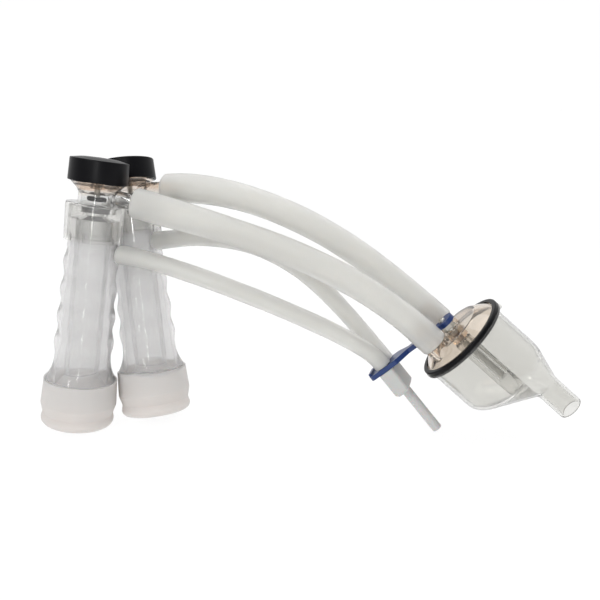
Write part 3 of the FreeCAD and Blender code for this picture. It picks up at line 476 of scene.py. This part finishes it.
def claw_bowl():
    """Moulded clear bowl: one skin of outlet, slanted sump, cup and rim, with its pillar and its side lug."""
    foot, up, outward = claw_frame()
    size = bowl_sizes(foot, up, outward)
    wall = size["outlet"] - size["bore"]
    shoulder = size["neck"] + SUMP_HEIGHT
    rim, middle, wide = size["rim"], -size["lean"], size["wide"]
    flange_low = rim - FLANGE_THICKNESS
    inner_lift = SUMP_WALL_SLANT * wall
    corners = [
        ((0, size["outlet"], 0), 0.8 * MM),
        ((0, size["outlet"], size["neck"]), 4 * MM),
        ((middle, wide, shoulder), 6 * MM),
        ((middle, wide, flange_low), 0.8 * MM),
        ((middle, size["flange"], flange_low), 0.3 * MM),
        ((middle, size["flange"], rim), 0.3 * MM),
        ((middle, wide - wall, rim), 0.4 * MM),
        ((middle, wide - wall, shoulder + inner_lift), 5 * MM),
        ((0, size["bore"], size["neck"] + inner_lift), 4 * MM),
        ((0, size["bore"], 0), 0.7 * MM),
    ]
    rows = rounded(corners, 8)
    points = ring_points(foot, up, outward, rows, BOWL_AROUND)
    faces = ring_faces(len(rows), BOWL_AROUND, True)
    bowl_piece(add_mesh("claw_bowl_skin", points, faces, sharp_angle=60))
    centre_pillar(foot, up, outward, size)
    side_lug(foot, up, outward, size, wall)


def side_lug(foot, up, outward, size, wall):
    """Small round lug on the bowl's upper side, just under the seal band."""
    root = size["wide"] - wall
    reach = size["flange"] + LUG_REACH
    corners = [
        ((ON_AXIS, root), 0),
        ((LUG_RADIUS, root), 0),
        ((LUG_TIP_RADIUS, reach), LUG_ROUNDING),
        ((ON_AXIS, reach), 0),
    ]
    lug_foot = foot + up * float(size["rim"] - LUG_BELOW_RIM) - outward * float(size["lean"])
    bowl_piece(lathe("claw_bowl_lug", rounded(corners), lug_foot, outward, LUG_AROUND))


def centre_pillar(foot, up, outward, size):
    """Post in the middle of the bowl that holds the tie bolt; its foot follows the sump's slope."""
    middle = -size["lean"]
    root = size["outlet"] - PILLAR_GAP
    slope = (size["wide"] - size["outlet"]) / SUMP_HEIGHT
    shift = size["lean"] / SUMP_HEIGHT
    fillet_width, fillet_rise = PILLAR_FILLET

    def sump_floor(x, y):
        """Height of the slanted cone under a place across the outlet's axis."""
        square = shift ** 2 - slope ** 2
        linear = 2 * (x * shift - root * slope)
        rest = x ** 2 + y ** 2 - root ** 2
        rise = (-linear - math.sqrt(max(linear ** 2 - 4 * square * rest, 0.0))) / (2 * square)
        return size["neck"] + max(rise, 0.0)

    def above_fillet(x, y):
        """Height where the fillet at the pillar's foot ends."""
        return sump_floor(x, y) + fillet_rise

    top = size["rim"] - PILLAR_GAP
    rows = [
        (middle, ON_AXIS, sump_floor),
        (middle, PILLAR_RADIUS + fillet_width, sump_floor),
        (middle, PILLAR_RADIUS, above_fillet),
        (middle, PILLAR_RADIUS, top - PILLAR_CHAMFER),
        (middle, PILLAR_RADIUS - PILLAR_CHAMFER, top),
        (middle, PILLAR_BORE, top),
        (middle, PILLAR_BORE, PILLAR_BORE_FOOT),
        (middle, ON_AXIS, PILLAR_BORE_FOOT),
    ]
    points = ring_points(foot, up, outward, rows, PILLAR_AROUND)
    faces = ring_faces(len(rows), PILLAR_AROUND, True)
    bowl_piece(add_mesh("claw_bowl_pillar", points, faces, sharp_angle=40))


def bowl_piece(piece):
    """Make a mesh part of the clear bowl, which rides on the claw."""
    piece.data.materials.append(clear_bowl())
    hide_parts("claw_bowl")
    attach(piece, "claw")


# ---- materials ----

def new_material(name):
    """An empty node material, as (material, node tree, its Principled shader)."""
    material = bpy.data.materials.new(name)
    material.use_nodes = True
    tree = material.node_tree
    shader = next(node for node in tree.nodes if node.type == "BSDF_PRINCIPLED")
    return material, tree, shader


def noise(tree, scale, detail=4.0):
    """Noise on object coordinates, as a value socket."""
    place = tree.nodes.new("ShaderNodeTexCoord")
    texture = tree.nodes.new("ShaderNodeTexNoise")
    texture.inputs["Scale"].default_value = scale
    texture.inputs["Detail"].default_value = detail
    tree.links.new(place.outputs["Object"], texture.inputs["Vector"])
    return texture.outputs["Fac"]


def spread(tree, value, low, high):
    """A noise value mapped to a range."""
    span = tree.nodes.new("ShaderNodeMapRange")
    span.inputs["To Min"].default_value = low
    span.inputs["To Max"].default_value = high
    tree.links.new(value, span.inputs["Value"])
    return span.outputs["Result"]


def bump(tree, shader, value, height):
    """Small relief of a given height on a shader's surface."""
    node = tree.nodes.new("ShaderNodeBump")
    node.inputs["Strength"].default_value = 1.0
    node.inputs["Distance"].default_value = height
    tree.links.new(value, node.inputs["Height"])
    tree.links.new(node.outputs["Normal"], shader.inputs["Normal"])


# Materials that are already built, by their function's name.
made = {}


def shared(builder):
    """Build each material once."""

    def get():
        if builder.__name__ not in made:
            made[builder.__name__] = builder()
        return made[builder.__name__]

    return get


@shared
def silicone_clear():
    """Milky see-through silicone hose."""
    material, tree, shader = new_material("silicone hose")
    shader.inputs["Base Color"].default_value = (0.83, 0.825, 0.80, 1)
    shader.inputs["Subsurface Weight"].default_value = 0.5
    shader.inputs["Subsurface Radius"].default_value = (1.0, 0.95, 0.9)
    shader.inputs["Subsurface Scale"].default_value = 6 * MM
    shader.inputs["Transmission Weight"].default_value = 0.62
    shader.inputs["IOR"].default_value = 1.25
    tree.links.new(spread(tree, noise(tree, 60), 0.34, 0.48), shader.inputs["Roughness"])
    bump(tree, shader, noise(tree, 900), 0.05 * MM)
    return material


def by_height(tree, low, high, below, above):
    """A value that goes from below to above between two heights over the object's origin."""
    place = tree.nodes.new("ShaderNodeTexCoord")
    parts = tree.nodes.new("ShaderNodeSeparateXYZ")
    span = tree.nodes.new("ShaderNodeMapRange")
    tree.links.new(place.outputs["Object"], parts.inputs["Vector"])
    tree.links.new(parts.outputs["Z"], span.inputs["Value"])
    span.inputs["From Min"].default_value = low
    span.inputs["From Max"].default_value = high
    span.inputs["To Min"].default_value = below
    span.inputs["To Max"].default_value = above
    return span.outputs["Result"]


def mixed(tree, share, below, above):
    """A colour socket that goes from below to above with a share socket."""
    mix = tree.nodes.new("ShaderNodeMix")
    mix.data_type = "RGBA"
    mix.inputs["A"].default_value = (*below, 1)
    mix.inputs["B"].default_value = (*above, 1)
    tree.links.new(share, mix.inputs["Factor"])
    return mix.outputs["Result"]


# The liner's milky skirt reaches this far up from the shell's foot, and thins out over this height.
SKIRT_HEIGHT = 20 * MM
SKIRT_THINNING = 4.5 * MM


@shared
def silicone_liner():
    """Moulded silicone liner: a thick, faintly pink mouthpiece and a thin see-through barrel."""
    material, tree, shader = new_material("silicone liner")
    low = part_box("left_shell")[0].z + SKIRT_HEIGHT
    high = low + SKIRT_THINNING
    change = by_height(tree, low, high, 0.0, 1.0)
    colour = mixed(tree, change, (0.74, 0.705, 0.68), (0.98, 0.98, 0.975))
    tree.links.new(colour, shader.inputs["Base Color"])
    shader.inputs["Subsurface Weight"].default_value = 0.7
    shader.inputs["Subsurface Radius"].default_value = (1.0, 0.9, 0.85)
    shader.inputs["Subsurface Scale"].default_value = 8 * MM
    shader.inputs["IOR"].default_value = 1.2
    tree.links.new(by_height(tree, low, high, 0.25, 0.88), shader.inputs["Transmission Weight"])
    tree.links.new(by_height(tree, low, high, 0.5, 0.22), shader.inputs["Roughness"])
    bump(tree, shader, noise(tree, 700), 0.06 * MM)
    return material


# The painted edge shade grows between these two amounts of turning away, where 1 is edge-on.
EDGE_STARTS = 0.58
EDGE_FULL = 0.88


def painted_edge_shade(tree, colour, edge):
    """A colour with painted shade: it gets darker where the surface turns away from the eye, down to edge times
    itself.
    """
    facing = tree.nodes.new("ShaderNodeLayerWeight")
    facing.inputs["Blend"].default_value = 0.5
    span = tree.nodes.new("ShaderNodeMapRange")
    span.interpolation_type = "SMOOTHSTEP"
    span.inputs["From Min"].default_value = EDGE_STARTS
    span.inputs["From Max"].default_value = EDGE_FULL
    span.inputs["To Min"].default_value = 1.0
    span.inputs["To Max"].default_value = edge
    shade = tree.nodes.new("ShaderNodeVectorMath")
    shade.operation = "SCALE"
    tree.links.new(facing.outputs["Facing"], span.inputs["Value"])
    tree.links.new(span.outputs["Result"], shade.inputs["Scale"])
    if isinstance(colour, tuple):
        shade.inputs[0].default_value = colour
    else:
        tree.links.new(colour, shade.inputs[0])
    return shade.outputs["Vector"]


def clear_plastic(name, tint, rough, ior, haze=0.0, edge=0.5):
    """Clear plastic; haze is the share of light it scatters, and edge the painted shade that darkens its outline.
    """
    material, tree, shader = new_material(name)
    colour = tint(tree) if callable(tint) else tint
    tree.links.new(painted_edge_shade(tree, colour, edge), shader.inputs["Base Color"])
    shader.inputs["Transmission Weight"].default_value = 1.0 - haze
    shader.inputs["IOR"].default_value = ior
    tree.links.new(spread(tree, noise(tree, 120), rough * 0.6, rough * 1.5), shader.inputs["Roughness"])
    bump(tree, shader, noise(tree, 45, 0.0), 0.02 * MM)
    return material


@shared
def clear_shell():
    """Slightly milky barrel of a teat cup."""
    return clear_plastic("clear shell", (0.92, 0.915, 0.915), rough=0.07, ior=1.28, haze=0.24, edge=0.72)


@shared
def clear_collar():
    """Locking ring with crisp outlines, darkened by painted shade."""
    return clear_plastic("clear collar", (0.93, 0.925, 0.91), rough=0.05, ior=1.45, haze=0.08, edge=0.45)


@shared
def clear_bowl():
    """Thick-walled bowl with grey outlines, darkened by painted shade."""
    return clear_plastic("clear bowl", (0.815, 0.81, 0.785), rough=0.03, ior=1.47, haze=0.05, edge=0.28)


@shared
def dome_amber():
    """Tinted lid of the claw."""
    return clear_plastic("amber dome", (0.78, 0.68, 0.58), rough=0.03, ior=1.55)


# The valve body's tint grows between these heights over the collar.
AMBER_STARTS = 2 * MM
AMBER_FULL = 8 * MM


@shared
def valve_amber():
    """Valve body: clear low down in the collar, amber in the bowl under the cap."""
    collar_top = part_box("left_collar")[1].z

    def tint(tree):
        change = by_height(tree, collar_top + AMBER_STARTS, collar_top + AMBER_FULL, 0.0, 1.0)
        return mixed(tree, change, (0.9, 0.9, 0.895), (0.86, 0.77, 0.69))

    return clear_plastic("amber valve body", tint, rough=0.04, ior=1.4, haze=0.04)


@shared
def black_rubber():
    """Satin black rubber of the caps, valves and seal band."""
    material, tree, shader = new_material("black rubber")
    shader.inputs["Base Color"].default_value = (0.003, 0.003, 0.004, 1)
    shader.inputs["Specular IOR Level"].default_value = 0.12
    tree.links.new(spread(tree, noise(tree, 150), 0.32, 0.42), shader.inputs["Roughness"])
    bump(tree, shader, noise(tree, 1500), 0.03 * MM)
    return material


@shared
def steel():
    """Turned stainless steel."""
    material, tree, shader = new_material("stainless steel")
    shader.inputs["Base Color"].default_value = (0.55, 0.54, 0.50, 1)
    shader.inputs["Metallic"].default_value = 1.0
    tree.links.new(spread(tree, noise(tree, 400), 0.22, 0.4), shader.inputs["Roughness"])
    bump(tree, shader, noise(tree, 2500), 0.02 * MM)
    return material


@shared
def blue_plastic():
    """Moulded blue plastic of the bracket."""
    material, tree, shader = new_material("blue plastic")
    shader.inputs["Base Color"].default_value = (0.007, 0.030, 0.135, 1)
    tree.links.new(spread(tree, noise(tree, 200), 0.28, 0.42), shader.inputs["Roughness"])
    bump(tree, shader, noise(tree, 1200), 0.03 * MM)
    return material


@shared
def grey_plastic():
    """Pale, slightly see-through plastic of the pulse manifold."""
    material, tree, shader = new_material("pale grey plastic")
    shader.inputs["Base Color"].default_value = (0.49, 0.49, 0.48, 1)
    shader.inputs["Subsurface Weight"].default_value = 0.3
    shader.inputs["Subsurface Scale"].default_value = 3 * MM
    tree.links.new(spread(tree, noise(tree, 90), 0.4, 0.55), shader.inputs["Roughness"])
    bump(tree, shader, noise(tree, 1100), 0.03 * MM)
    return material


def paint(node, material):
    """Give a CAD node its finish; its mesh stays as packed."""
    data = nodes[node].data
    data.materials.clear()
    data.materials.append(material)


def paint_cad_nodes():
    """Give the CAD nodes their materials."""
    for side in SIDES:
        paint(f"{side}_liner", silicone_liner())
        paint(f"{side}_shell", clear_shell())
        paint(f"{side}_collar", clear_collar())
        paint(f"{side}_valve_body", valve_amber())
        paint(f"{side}_stem_guide", valve_amber())
        paint(f"{side}_valve_seat", black_rubber())
        paint(f"{side}_valve_plunger", black_rubber())
        paint(f"{side}_stem_seal", black_rubber())
        paint(f"{side}_valve_cap", black_rubber())
        paint(f"{side}_valve_stem", steel())
    paint("claw_dome", dome_amber())
    paint("claw_seal", black_rubber())
    for name in ("tie_bolt", "tie_washer", "tie_nut"):
        paint(name, steel())
    paint("hanger_bracket", blue_plastic())
    paint("pulse_manifold", grey_plastic())


# ---- stage, light and camera ----

FLOOR_HALF = 3.5
FLOOR_FRONT = -1.6
FLOOR_BACK = 1.9
FLOOR_BEND = 0.7
FLOOR_TOP = 2.1
BEND_STEPS = 16


def make_stage():
    """Pale floor that sweeps up behind the cluster."""
    profile = [(FLOOR_FRONT, 0.0), (FLOOR_BACK - FLOOR_BEND, 0.0)]
    for k in range(1, BEND_STEPS + 1):
        turn = math.pi / 2 * k / BEND_STEPS
        back = FLOOR_BACK - FLOOR_BEND + FLOOR_BEND * math.sin(turn)
        profile.append((back, FLOOR_BEND - FLOOR_BEND * math.cos(turn)))
    profile.append((FLOOR_BACK, FLOOR_TOP))
    points = []
    for y, z in profile:
        points += [(-FLOOR_HALF, y, z), (FLOOR_HALF, y, z)]
    faces = [(2 * k, 2 * k + 1, 2 * k + 3, 2 * k + 2) for k in range(len(profile) - 1)]
    floor = add_mesh("floor", points, faces)
    lowest = size_before[0][2]
    floor.location.z = min(0.0, lowest) - 0.02 * MM
    floor.data.materials.append(pale_floor())


def pale_floor():
    """White floor that gives off most of its own light, so that it stays even and shadows stay soft."""
    material, tree, shader = new_material("pale floor")
    shader.inputs["Base Color"].default_value = (0.10, 0.10, 0.10, 1)
    tree.links.new(spread(tree, noise(tree, 8), 0.88, 0.92), shader.inputs["Roughness"])
    shader.inputs["Specular IOR Level"].default_value = 0.0
    shader.inputs["Emission Color"].default_value = (1, 1, 1, 1)
    shader.inputs["Emission Strength"].default_value = 0.93
    return material


def add_area(name, place, aim, width, height, power):
    """A soft rectangular lamp at a place, turned towards its aim."""
    light = bpy.data.lights.new(name, "AREA")
    light.shape = "RECTANGLE"
    light.size = width
    light.size_y = height
    light.energy = power
    obj = bpy.data.objects.new(name, light)
    obj.location = place
    obj.rotation_euler = (Vector(aim) - Vector(place)).to_track_quat("-Z", "Y").to_euler()
    bpy.context.scene.collection.objects.link(obj)


def make_light():
    """Studio light: a world that is brighter behind the cluster, and three lamps."""
    world = bpy.data.worlds.new("studio")
    bpy.context.scene.world = world
    world.use_nodes = True
    tree = world.node_tree
    sky = tree.nodes["Background"]
    sky.inputs["Color"].default_value = (1, 1, 1, 1)
    place = tree.nodes.new("ShaderNodeTexCoord")
    parts = tree.nodes.new("ShaderNodeSeparateXYZ")
    span = tree.nodes.new("ShaderNodeMapRange")
    span.interpolation_type = "SMOOTHSTEP"
    span.inputs["From Min"].default_value = -0.75
    span.inputs["From Max"].default_value = 0.35
    span.inputs["To Min"].default_value = 0.42
    span.inputs["To Max"].default_value = 1.0
    tree.links.new(place.outputs["Generated"], parts.inputs["Vector"])
    tree.links.new(parts.outputs["Y"], span.inputs["Value"])
    tree.links.new(span.outputs["Result"], sky.inputs["Strength"])
    add_area("key", (-0.5, -0.9, 0.9), (0, 0, 0.1), width=0.12, height=0.7, power=4)
    add_area("strip", (-0.02, -1.3, 0.4), (-0.1, 0, 0.12), width=0.09, height=0.9, power=5)
    add_area("top", (0.1, 0.1, 1.4), (0, 0, 0), width=1.2, height=1.0, power=6)


CAMERA_PLACE = Vector((-5.0, -467.9, 190.0)) * MM
CAMERA_PITCH_DEGREES = 11.79
CAMERA_LENS = 39.5


def make_camera():
    """Camera in front of the cluster, with light paths long enough for its many clear walls."""
    data = bpy.data.cameras.new("camera")
    data.sensor_width = 36
    data.lens = CAMERA_LENS
    data.clip_start = 0.01
    camera = bpy.data.objects.new("camera", data)
    camera.location = CAMERA_PLACE
    camera.rotation_euler = (math.radians(90 - CAMERA_PITCH_DEGREES), 0, 0)
    bpy.context.scene.collection.objects.link(camera)
    scene = bpy.context.scene
    scene.camera = camera
    scene.view_settings.view_transform = "Standard"
    scene.cycles.transmission_bounces = 24
    scene.cycles.transparent_max_bounces = 24
    scene.cycles.glossy_bounces = 16
    scene.cycles.diffuse_bounces = 6
    scene.cycles.max_bounces = 32


paint_cad_nodes()
for side in SIDES:
    hose(side, "milk", flare=1.1 * MM, flare_length=75 * MM)
    hose(side, "pulse", flare=0.3 * MM, flare_length=40 * MM)
    push_cap(side)
claw_bowl()
make_stage()
make_light()
make_camera()
